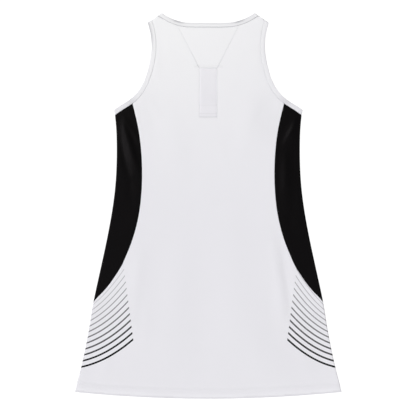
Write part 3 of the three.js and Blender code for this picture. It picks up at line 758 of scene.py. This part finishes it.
def tape(name, stations, width, material, shades):
    """A binding as a closed ring of sections. shades gives its painted shade from x and y."""
    away, depth = tape_section(width).T
    proud = TAPE_PROUD * (1 - np.clip(depth / TAPE_WALL, 0, 1))
    rings = np.array([laid_across(station, away / width, depth, proud) for station in stations])
    count, corners = rings.shape[:2]
    along = np.concatenate([[0], np.cumsum(np.linalg.norm(np.diff(rings[:, 3], axis=0), axis=1))])
    uv = line_of(np.tile(away, count), np.repeat(along, corners))
    faces = []
    for i in range(count):
        for j in range(corners):
            here, ahead = i * corners, (i + 1) % count * corners
            faces.append([here + j, here + (j + 1) % corners, ahead + (j + 1) % corners, ahead + j])
    at_edge = np.tile(bell(away, 1, 0, EDGE_SHADE_WIDTH), count)
    at_seam = np.tile(bell(away, 1, width, SEAM_SHADE_WIDTH), count)
    edge, seam, whole = (np.repeat(share, corners) for share in shades(*rings[:, 3, :2].T))
    facts = {"shade": np.clip(edge * at_edge + seam * at_seam + whole, 0, 1)}
    return plain_object(name, mesh_from(name, rings.reshape(-1, 3), faces, facts, uv), material)


# Print on the skirt: rows of curved stripes from each side fold inwards, the lowest first
PRINT_ROWS = 14
PRINT_OUTER_Y, PRINT_OUTER_STEP, PRINT_OUTER_LESS = -354.2, 13.5, 0.1
PRINT_INNER_Y, PRINT_INNER_STEP = -293.4, 14.0
PRINT_INNER_X = {1: 173.6, -1: 165.0}
PRINT_INNER_LEAN = 0.13
PRINT_STRAIGHT, PRINT_STRAIGHTER = 0.38, 0.03
PRINT_HALF_WIDTHS = (2.0, 0.45)
PRINT_SOFT, PRINT_END_SOFT = 0.3, 0.4
PRINT_FADE, PRINT_FADE_POWER = 0.85, 1.5
PRINT_STEP = 0.5


def print_row_ends(row, side):
    """The outer and the inner end of a row of the print."""
    outer_y = PRINT_OUTER_Y + PRINT_OUTER_STEP * row - PRINT_OUTER_LESS * row**2
    inner_y = PRINT_INNER_Y + PRINT_INNER_STEP * row
    inner_x = PRINT_INNER_X[side] + PRINT_INNER_LEAN * (inner_y - PRINT_INNER_Y)
    return (half_width(outer_y), outer_y), (inner_x, inner_y)


def print_row(x, y):
    """Which row of the print a place lies on, with the share of the way to the next."""
    found = np.zeros(np.shape(x))
    rows = np.arange(-2, PRINT_ROWS + 2, PRINT_STEP)
    for side in (-1, 1):
        mine = np.sign(x + 1e-9) == side
        across, up = np.abs(x[mine]), y[mine]
        heights = []
        for row in rows:
            (outer_x, outer_y), (inner_x, inner_y) = print_row_ends(row, side)
            t = np.clip((outer_x - across) / (outer_x - inner_x), -0.2, 1.3)
            straight = PRINT_STRAIGHT + PRINT_STRAIGHTER * row
            heights.append(lerp(outer_y, inner_y, straight * t + (1 - straight) * t**2))
        heights = np.array(heights)
        i = np.clip((heights <= up).sum(0) - 1, 0, len(rows) - 2)
        low = np.take_along_axis(heights, i[None], 0)[0]
        high = np.take_along_axis(heights, i[None] + 1, 0)[0]
        found[mine] = rows[i] + PRINT_STEP * np.clip((up - low) / (high - low), -1, 2)
    return found


def print_facts(x, y):
    """The print's row, the distance between its rows and the distance in from its inner end."""
    row = print_row(x, y)
    slope = np.hypot(print_row(x + PRINT_STEP, y) - row, print_row(x, y + PRINT_STEP) - row) / PRINT_STEP
    inner_x = np.where(x > 0, PRINT_INNER_X[1], PRINT_INNER_X[-1])
    return {
        "print_row": row,
        "print_spacing": 1 / np.maximum(slope, 0.02),
        "print_reach": np.abs(x) - inner_x - PRINT_INNER_LEAN * (y - PRINT_INNER_Y),
    }


class Value:
    """A number that a material's nodes work out, so that sums on it are written as plain Python."""

    def __init__(self, finish, socket):
        self.finish = finish
        self.socket = socket

    def math(self, operation, *others):
        values = dict(enumerate([self, *others]))
        return self.finish.value("ShaderNodeMath", {"operation": operation}, values)

    def __add__(self, other):
        return self.math("ADD", other)

    def __sub__(self, other):
        return self.math("SUBTRACT", other)

    def __rsub__(self, other):
        return self.math("MULTIPLY", -1).math("ADD", other)

    def __mul__(self, other):
        return self.math("MULTIPLY", other)

    def __truediv__(self, other):
        return self.math("DIVIDE", other)

    __radd__ = __add__
    __rmul__ = __mul__

    def below(self, edge, soft):
        """1 well under an edge, 0 well over it, with a soft step between."""
        return (0.5 - (self - edge) / soft).math("MAXIMUM", 0).math("MINIMUM", 1)


class Nodes:
    """A tree of nodes, for a finish or for the stitches."""

    def __init__(self, tree):
        self.tree = tree

    def node(self, kind, settings=None, values=None):
        """A new node of a type. Its settings come first, then the values or links of its sockets."""
        made = self.tree.nodes.new(kind)
        for key, value in (settings or {}).items():
            setattr(made, key, value)
        for key, value in (values or {}).items():
            self.feed(made.inputs[key], value)
        return made

    def feed(self, socket, value):
        if isinstance(value, Value):
            value = value.socket
        if isinstance(value, bpy.types.NodeSocket):
            self.tree.links.new(value, socket)
        else:
            socket.default_value = value


class Finish(Nodes):
    """A material of the dress."""

    def __init__(self, name, roughness, **shader):
        self.material = bpy.data.materials.new(name)
        self.material.use_nodes = True
        super().__init__(self.material.node_tree)
        self.shader = self.tree.nodes["Principled BSDF"]
        for socket, value in {"Roughness": roughness, **shader}.items():
            self.shader.inputs[socket.replace("_", " ")].default_value = value

    def value(self, kind, settings=None, values=None, output=0):
        return Value(self, self.node(kind, settings, values).outputs[output])

    def attribute(self, name):
        return self.value("ShaderNodeAttribute", {"attribute_name": name}, output="Fac")

    def cloth(self):
        """The place in the flat cut, in millimetres."""
        uv = self.node("ShaderNodeUVMap", {"uv_map": "cloth"})
        split = self.node("ShaderNodeSeparateXYZ", None, {0: uv.outputs[0]})
        return [Value(self, split.outputs[k]) / MM for k in (0, 1)]

    def noise(self, size_mm, detail=2.0):
        place = self.node("ShaderNodeTexCoord").outputs["Object"]
        return self.value(
            "ShaderNodeTexNoise", None, {"Vector": place, "Scale": 1 / (size_mm * MM), "Detail": detail}
        )

    def mixed(self, share, first, second, **settings):
        """A colour between two others."""
        mix = self.node("ShaderNodeMix", {"data_type": "RGBA", **settings})
        for key, value in ((0, share), (6, first), (7, second)):
            self.feed(mix.inputs[key], value)
        return mix.outputs[2]

    def shaded(self, colour):
        """A colour under the shade painted on the cloth, which is below 0 where the cloth is lighter."""
        return self.mixed(self.attribute("shade"), colour, TURNED_SHADE, clamp_factor=False)

    def bump(self, height, depth_mm, strength):
        values = {"Height": height, "Distance": depth_mm * MM, "Strength": strength}
        made = self.node("ShaderNodeBump", None, values)
        self.feed(self.shader.inputs["Normal"], made.outputs[0])

    def colour(self, colour):
        self.feed(self.shader.inputs["Base Color"], colour)


def knit_height(finish, wale_mm, course_mm):
    """Rows of small loops: fine ribs down the cloth, waved across."""
    across, along = finish.cloth()
    rib = (across * (math.pi / wale_mm)).math("SINE").math("ABSOLUTE")
    loop = (along * (2 * math.pi / course_mm)).math("SINE")
    return rib * 0.7 + rib * loop * 0.3


def seam_shade(finish, depth, width_mm):
    """Painted shade down in a seam: 1 on the cloth, and less down in a seam."""
    near = (finish.attribute("seam") / width_mm).math("MULTIPLY", -1).math("EXPONENT")
    return 1 - near * depth


# WHITE_SHADE is the darker white mixed in for the painted shade in seams and for random patches;
# TURNED_SHADE is the colour of the shade painted on the cloth.
WHITE = (0.838, 0.830, 0.870, 1)
WHITE_SHADE = (0.65, 0.64, 0.69, 1)
TURNED_SHADE = (0.34, 0.33, 0.37, 1)
INK = (0.003, 0.003, 0.004, 1)
BLACKS = (0.0007, 0.0006, 0.0007, 1), (0.0016, 0.0013, 0.0015, 1)
BLACK_GLOSS_TINT = (1.0, 0.93, 0.98, 1)
BLACK_SHEEN_TINT = (1.0, 0.86, 0.95, 1)
MESH_WHITES = (0.84, 0.825, 0.88, 1), (0.865, 0.85, 0.905, 1)
THREAD_WHITES = (0.78, 0.77, 0.81, 1), (0.86, 0.85, 0.89, 1)


def white_knit(name, painted_seam_depth, painted_seam_width, printed=False):
    finish = Finish(name, 0.8, Specular_IOR_Level=0.2, Sheen_Weight=0.1, Sheen_Roughness=0.5)
    patchy = finish.noise(70) * 0.06 + finish.noise(1.3, 1) * 0.05 - 0.055
    # Painted shade down in the seams, with random patches of tone.
    cloth = seam_shade(finish, painted_seam_depth, painted_seam_width) + patchy
    colour = finish.mixed(cloth, WHITE_SHADE, WHITE)
    if printed:
        row = finish.attribute("print_row")
        nearest = row.math("ROUND")
        share = nearest / (PRINT_ROWS - 1)
        half = lerp(*PRINT_HALF_WIDTHS, share)
        off = (row - nearest).math("ABSOLUTE") * finish.attribute("print_spacing")
        ink = off.below(half, PRINT_SOFT)
        ink = ink * (1 - finish.attribute("print_reach").below(0, PRINT_END_SOFT))
        ink = ink * nearest.below(PRINT_ROWS - 0.5, 0.1) * (1 - nearest.below(-0.5, 0.1))
        faint = 1 - share.math("POWER", PRINT_FADE_POWER) * PRINT_FADE
        colour = finish.mixed(ink * faint, colour, INK)
    finish.colour(finish.shaded(colour))
    finish.bump(knit_height(finish, 0.85, 0.75), 0.06, 0.5)
    return finish.material


def black_knit():
    finish = Finish("black_knit", 0.38, Specular_IOR_Level=0.11, Specular_Tint=BLACK_GLOSS_TINT,
                    Sheen_Weight=0.01, Sheen_Roughness=0.35, Sheen_Tint=BLACK_SHEEN_TINT)
    worn = finish.noise(40) * 0.5 + finish.noise(1.2, 1) * 0.4
    finish.colour(finish.mixed(worn, *BLACKS))
    finish.bump(knit_height(finish, 0.8, 0.7), 0.06, 0.5)
    return finish.material


def vent_mesh():
    finish = Finish("vent_mesh", 0.75, Specular_IOR_Level=0.25, Sheen_Weight=0.1)
    yarn = knit_height(finish, 0.65, 0.65)
    finish.colour(finish.shaded(finish.mixed(yarn + finish.noise(8) * 0.2, *MESH_WHITES)))
    finish.bump(yarn, 0.05, 0.4)
    return finish.material


def tape_knit():
    finish = Finish("tape_knit", 0.75, Specular_IOR_Level=0.25, Sheen_Weight=0.1, Sheen_Roughness=0.5)
    colour = finish.mixed(1 - finish.noise(1.2, 1) * 0.06, WHITE_SHADE, WHITE)
    finish.colour(finish.shaded(colour))
    across, along = finish.cloth()
    rib = (along * (math.pi / 0.9)).math("SINE").math("ABSOLUTE")
    finish.bump(rib * 0.8 + (across * (2 * math.pi / 0.8)).math("SINE") * 0.2, 0.07, 0.5)
    return finish.material


def thread():
    finish = Finish("sewing_thread", 0.5, Specular_IOR_Level=0.35)
    finish.colour(finish.mixed(finish.noise(0.3, 1), *THREAD_WHITES))
    return finish.material


# Sewing
STITCH_PITCH = 3.1
STITCH_LENGTH = 2.5
THREAD_RADIUS = 0.2
STITCH_LEAN = math.radians(5)
STITCH_SEED = 7
STITCH_SINK = THREAD_RADIUS * 0.5
HEM_STITCH_SINK = THREAD_RADIUS * 0.6
ROW_FROM_SEAM = 1.6
ROW_STEP = 1.5
BAR_ROWS_Y = (BAR_Y - 1, BAR_Y + 1)
YOKE_ROW_STARTS, YOKE_ROW_ENDS = 6, -1.5
YOKE_ROW_POINTS = 60


def stitch_tree():
    """Nodes that set stitches along lines: a small rounded bar at even steps, each leaning a little."""
    tree = bpy.data.node_groups.new("stitch_rows", "GeometryNodeTree")
    face = tree.interface
    sockets = {}
    sockets["lines"] = face.new_socket("Lines", in_out="INPUT", socket_type="NodeSocketGeometry")
    for name in ("Pitch", "Stitch length", "Thread radius", "Lean"):
        sockets[name] = face.new_socket(name, in_out="INPUT", socket_type="NodeSocketFloat")
    sockets["Thread"] = face.new_socket("Thread", in_out="INPUT", socket_type="NodeSocketMaterial")
    face.new_socket("Stitches", in_out="OUTPUT", socket_type="NodeSocketGeometry")

    node = Nodes(tree).node
    given = node("NodeGroupInput").outputs
    curve = node("GeometryNodeMeshToCurve", None, {"Mesh": given["Lines"]})
    spots = node("GeometryNodeCurveToPoints", {"mode": "LENGTH"},
                 {"Curve": curve.outputs[0], "Length": given["Pitch"]})
    ball = node("GeometryNodeMeshUVSphere", None, {"Segments": 6, "Rings": 5, "Radius": 1.0})
    half = node("ShaderNodeMath", {"operation": "MULTIPLY"}, {0: given["Stitch length"], 1: 0.5})
    size = node("ShaderNodeCombineXYZ", None,
                {0: given["Thread radius"], 1: given["Thread radius"], 2: half.outputs[0]})
    bar = node("GeometryNodeTransform", None, {"Geometry": ball.outputs[0], "Scale": size.outputs[0]})
    back = node("ShaderNodeMath", {"operation": "MULTIPLY"}, {0: given["Lean"], 1: -1.0})
    turn = node("FunctionNodeRandomValue", {"data_type": "FLOAT"},
                {2: back.outputs[0], 3: given["Lean"], "Seed": STITCH_SEED})
    lean = node("ShaderNodeCombineXYZ", None, {0: turn.outputs[1], 1: turn.outputs[1]})
    leaning = node("FunctionNodeEulerToRotation", None, {0: lean.outputs[0]})
    turned = node("FunctionNodeRotateRotation", {"rotation_space": "LOCAL"},
                  {0: spots.outputs["Rotation"], 1: leaning.outputs[0]})
    placed = node("GeometryNodeInstanceOnPoints", None,
                  {"Points": spots.outputs[0], "Instance": bar.outputs[0], "Rotation": turned.outputs[0]})
    real = node("GeometryNodeRealizeInstances", None, {0: placed.outputs[0]})
    dressed = node("GeometryNodeSetMaterial", None,
                   {"Geometry": real.outputs[0], "Material": given["Thread"]})
    node("NodeGroupOutput", None, {0: dressed.outputs[0]})
    return tree, sockets


def stitching(name, rows, tree, sockets, material):
    """Stitches along rows of points in millimetres, as one plain mesh."""
    lines = bpy.data.meshes.new(name)
    points = np.concatenate(rows) * MM
    edges, count = [], 0
    for row in rows:
        edges += [(count + k, count + k + 1) for k in range(len(row) - 1)]
        count += len(row)
    lines.from_pydata(points.tolist(), edges, [])
    guide = bpy.data.objects.new(name + "_lines", lines)
    bpy.context.scene.collection.objects.link(guide)
    modifier = guide.modifiers.new("stitches", "NODES")
    modifier.node_group = tree
    for key, value in (("Pitch", STITCH_PITCH * MM), ("Stitch length", STITCH_LENGTH * MM),
                       ("Thread radius", THREAD_RADIUS * MM), ("Lean", STITCH_LEAN), ("Thread", material)):
        modifier[sockets[key].identifier] = value
    graph = bpy.context.evaluated_depsgraph_get()
    mesh = bpy.data.meshes.new_from_object(guide.evaluated_get(graph), depsgraph=graph)
    bpy.data.objects.remove(guide)
    mesh.polygons.foreach_set("use_smooth", [True] * len(mesh.polygons))
    return plain_object(name, mesh, material)


def hem_stitch_rows(layer):
    rows = []
    for height in HEM_ROWS:
        reach = float(side_middle(HEM_CENTRE_Y + height)) - 1.5
        x = np.arange(-reach, reach, EDGE_STEP)
        y = hem_y(x, HEM_SHORTER[layer]) + height
        inside = np.abs(x) < side_middle(y) - 1.2
        proud = hem_thickness(layer, x, y) if layer == "back" else 0.0
        rows.append(lay(layer, x, y, HEM_STITCH_SINK, proud)[inside])
    return rows


def tape_stitch_row(stations, width):
    """A row round a binding, just in from its seam."""
    share = np.array([1 - ROW_FROM_SEAM / width])
    places = [laid_across(station, share, STITCH_SINK, TAPE_PROUD)[0] for station in stations]
    return np.array(places + places[:1])


def yoke_stitch_rows():
    start = [VENT_HALF_WIDTH + ROW_FROM_SEAM, VENT_TOP_Y + YOKE_ROW_STARTS]
    x, y = np.linspace(start, yoke_corner() + [ROW_FROM_SEAM, YOKE_ROW_ENDS], YOKE_ROW_POINTS).T
    return [lay("back", side * x, y, STITCH_SINK) for side in (-1, 1)]


def vent_stitch_rows():
    """Rows up both sides of the vent, across its foot and along its own sewn rows, and two on the welt."""
    foot, beside_vent = VENT_BOTTOM_Y - ROW_FROM_SEAM, VENT_HALF_WIDTH + ROW_FROM_SEAM
    up = np.arange(foot, VENT_TOP_Y - 1, EDGE_STEP)
    lines = [line_of(side * beside_vent, up) for side in (-1, 1)]
    level = (beside_vent, [foot]), (VENT_HALF_WIDTH - 2, VENT_ROWS_Y), (BAR_HALF_WIDTH, BAR_ROWS_Y)
    for reach, heights in level:
        lines += level_lines(-reach, reach, ROW_STEP, heights)
    return [lay("back", *line.T, STITCH_SINK, bar_ridge(*line.T)) for line in lines]


def bar_ridge(x, y):
    """The narrow welt across the top of the vent."""
    ends = ramp(np.abs(x), BAR_HALF_WIDTH + BAR_END / 2, -BAR_END)
    return BAR_PROUD * ends * ramp(np.abs(y - BAR_Y), BAR_HALF_HEIGHT, -BAR_SLOPE)


def bar_shade(x, y):
    """Painted shade on the welt, which is a second layer of cloth."""
    return {"shade": BAR_SHADE * smoothstep(bar_ridge(x, y) / (BAR_PROUD / 2))}


def vent_shade(x, y):
    """Painted shade on the mesh where it lies double, along its sewn rows and its right border, darkest in
    its lowest seam.
    """
    shade = bell(y, *VENT_FOOT_SHADE)
    for row, depth in zip(VENT_ROWS_Y, VENT_ROW_SHADES):
        shade += bell(y, depth, row, VENT_ROW_WIDTH)
    return {"shade": shade + VENT_BORDER_SHADE * ramp(x, *VENT_BORDER_RAMP)}


def back_facts(x, y):
    """The print, and painted shade on the welt and on the folds at the hem and the sides. Where the hem
    lies double it is painted lighter."""
    above = y - hem_y(np.abs(x))
    over = np.abs(x) - side_turn(y)
    shade = bar_shade(x, y)["shade"] + folds_height(FOLD_SHADES, x, y)
    side = np.where(x < 0, *SIDE_FOLD_SHADES) * (y < UNDERARM_Y)
    shade += bell(above, *HEM_FOLD_SHADE) + bell(above, *HEM_DOUBLE_SHADE)
    return {**print_facts(x, y), "shade": shade + bell(over, side, SIDE_FOLD_MIDDLE, SIDE_FOLD_WIDTH)}


def back_proud(x, y):
    return hem_thickness("back", x, y) + bar_ridge(x, y)


def front_thicker(x, y):
    return np.maximum(0, hem_thickness("front", x, y))


def vent_holes():
    turn = np.linspace(0, 2 * math.pi, HOLE_SIDES, endpoint=False)
    hole = HOLE_RADIUS * line_of(np.cos(turn), np.sin(turn))
    rise = HOLE_PITCH * math.sqrt(3) / 2
    columns = int((VENT_HALF_WIDTH - VENT_BORDER) / HOLE_PITCH)
    levels = np.arange(VENT_BOTTOM_Y + VENT_BORDER, VENT_TOP_Y - VENT_BORDER, rise)
    holes = []
    for k, y in enumerate(levels):
        if min(abs(y - row) for row in VENT_ROWS_Y) < VENT_ROW_WIDTH:
            continue
        for column in range(-columns, columns + (k + 1) % 2):
            x = (column + (k % 2) / 2) * HOLE_PITCH
            holes.append(hole + [x, y])
    return holes


knit = white_knit("white_knit", 0.5, 0.9)
printed_knit = white_knit("white_knit_printed", 0.25, 0.4, printed=True)
black, mesh_knit, tape_cloth, white_thread = black_knit(), vent_mesh(), tape_knit(), thread()

fold_lines = turn_lines(HEM_CENTRE_Y, POINT_Y, HALF_FOLD) + shoulder_lines(HALF_FOLD)
outlines = {
    "back_cloth": body_outline("back"), "front_cloth": body_outline("front"), "yoke_cloth": yoke_outline(),
    "vent_cloth": vent_outline(), "side_cloth_right": side_outline(1), "side_cloth_left": side_outline(-1),
}

SHELLS = {
    "back_cloth": dict(
        layer="back", pitch=BACK_PITCH, material=printed_knit, lines=fold_lines + hem_lines() + bar_lines(),
        proud=back_proud, attributes=back_facts,
    ),
    "front_cloth": dict(
        layer="front", pitch=FRONT_PITCH, material=printed_knit, lines=fold_lines, thicker=front_thicker,
        attributes=print_facts,
    ),
    "yoke_cloth": dict(
        layer="back", pitch=YOKE_PITCH, material=knit, lines=bar_lines(), proud=bar_ridge,
        attributes=bar_shade,
    ),
    "vent_cloth": dict(
        layer="back", pitch=HOLE_PITCH, material=mesh_knit, lines=vent_lines(), holes=vent_holes(),
        wall=VENT_WALL, attributes=vent_shade,
    ),
}
side_lines = turn_lines(POINT_Y - 4, UNDERARM_Y, WHOLE_FOLD)
for name, side in (("side_cloth_right", 1), ("side_cloth_left", -1)):
    mine = [line for line in side_lines if line[0, 0] * side > 0]
    SHELLS[name] = dict(layer="back", pitch=SIDE_PITCH, material=black, lines=mine)
PIECES = {name: shell(name, outlines[name], **how) for name, how in SHELLS.items()}

neck_stations = ring_stations(neck_lines)
armhole_stations = {
    "armhole_tape_right": ring_stations(armhole_lines, 1),
    "armhole_tape_left": ring_stations(armhole_lines, -1),
}
PIECES["neck_tape"] = tape("neck_tape", neck_stations, NECK_TAPE_WIDTH, tape_cloth, neck_shades)
for name, stations in armhole_stations.items():
    PIECES[name] = tape(name, stations, ARMHOLE_TAPE_WIDTH, tape_cloth, armhole_shades)

stitches = stitch_tree()
rows = {
    "hem_stitching": hem_stitch_rows("back") + hem_stitch_rows("front"),
    "neck_stitching": [tape_stitch_row(neck_stations, NECK_TAPE_WIDTH)],
    "armhole_stitching": [tape_stitch_row(s, ARMHOLE_TAPE_WIDTH) for s in armhole_stations.values()],
    "yoke_stitching": yoke_stitch_rows(),
    "vent_stitching": vent_stitch_rows(),
}
for name, lines in rows.items():
    PIECES[name] = stitching(name, lines, *stitches, white_thread)

# Piece, CAD node, material slot and what it lies on
STANDS_FOR = [
    ("back_cloth", "back_body", "white_knit", ["front_cloth"]),
    ("front_cloth", "front_body", "white_knit", ["studio_floor"]),
    ("yoke_cloth", "back_insert", "white_knit", ["front_cloth"]),
    ("vent_cloth", "back_vent", "vent_mesh", ["front_cloth"]),
    ("side_cloth_right", "side_panel_right", "black_knit", ["studio_floor"]),
    ("side_cloth_left", "side_panel_left", "black_knit", ["studio_floor"]),
    ("neck_tape", "neck_binding", "white_binding", ["studio_floor"]),
    ("armhole_tape_right", "armhole_binding_right", "white_binding", ["studio_floor"]),
    ("armhole_tape_left", "armhole_binding_left", "white_binding", ["studio_floor"]),
]


def tape_length(stations):
    middle = np.array([laid_across(station, [0.5], 0, 0)[0] for station in stations])
    return float(np.linalg.norm(np.roll(middle, -1, axis=0) - middle, axis=1).sum())


for name, outline in outlines.items():
    anticlockwise(outline)[1] * MM**2
tape_length(neck_stations)
for name, stations in armhole_stations.items():
    tape_length(stations)

for name, node, slot, under in STANDS_FOR:
    piece = PIECES[name]
    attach(piece, "root")
    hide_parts(node)
for name in rows:
    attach(PIECES[name], "root")

# Camera straight above, as far off as a studio camera over a table. FLOOR_REACH alone is in metres.
FLOOR_REACH = 40.0
FRAME_SIDE = 915.2
FRAME_CENTRE = (-0.66, -5.06)
LENS = 100
SENSOR = 36

camera = bpy.data.objects.new("camera", bpy.data.cameras.new("camera"))
camera.data.lens, camera.data.sensor_width = LENS, SENSOR
camera.location = (FRAME_CENTRE[0] * MM, FRAME_CENTRE[1] * MM, FRAME_SIDE * MM * LENS / SENSOR)
bpy.context.scene.collection.objects.link(camera)
bpy.context.scene.camera = camera


def studio_floor():
    mesh = bpy.data.meshes.new("studio_floor")
    corners = ((-1, -1), (1, -1), (1, 1), (-1, 1))
    mesh.from_pydata([(x * FLOOR_REACH, y * FLOOR_REACH, 0) for x, y in corners], [], [(0, 1, 2, 3)])
    finish = Finish("studio_paper", 0.9, Specular_IOR_Level=0.0, Base_Color=(0.1, 0.1, 0.1, 1),
                    Emission_Color=(1, 1, 1, 1), Emission_Strength=1.0)
    plain_object("studio_floor", mesh, finish.material)


def lamp(name, kind, place, aim, strength, colour, **settings):
    light = bpy.data.lights.new(name, kind)
    light.energy, light.color = strength, colour
    for key, value in settings.items():
        setattr(light, key, value)
    made = bpy.data.objects.new(name, light)
    made.location = place
    made.rotation_euler = (Vector(aim) - Vector(place)).to_track_quat("-Z", "Y").to_euler()
    bpy.context.scene.collection.objects.link(made)


studio_floor()
CENTRE = (0, 0, 0)
lamp("key", "SUN", (-3.0, 0.9, 3.1), CENTRE, 2.05, (1, 1, 1), angle=math.radians(35))
lamp("fill", "SUN", (0.7, -3.0, 3.0), CENTRE, 1.0, (1, 1, 1), angle=math.radians(60))
lamp("upper", "SPOT", (-0.35, 1.1, 1.5), (-0.09, 0.52, 0), 16.5, (0.92, 1.0, 0.68),
     spot_size=math.radians(28), spot_blend=1.0, shadow_soft_size=0.2)
world = bpy.data.worlds.new("studio")
world.use_nodes = True
sky = world.node_tree.nodes["Background"].inputs
sky["Color"].default_value, sky["Strength"].default_value = (1, 1, 1, 1), 0.27
bpy.context.scene.world = world
bpy.context.scene.view_settings.view_transform = "Standard"
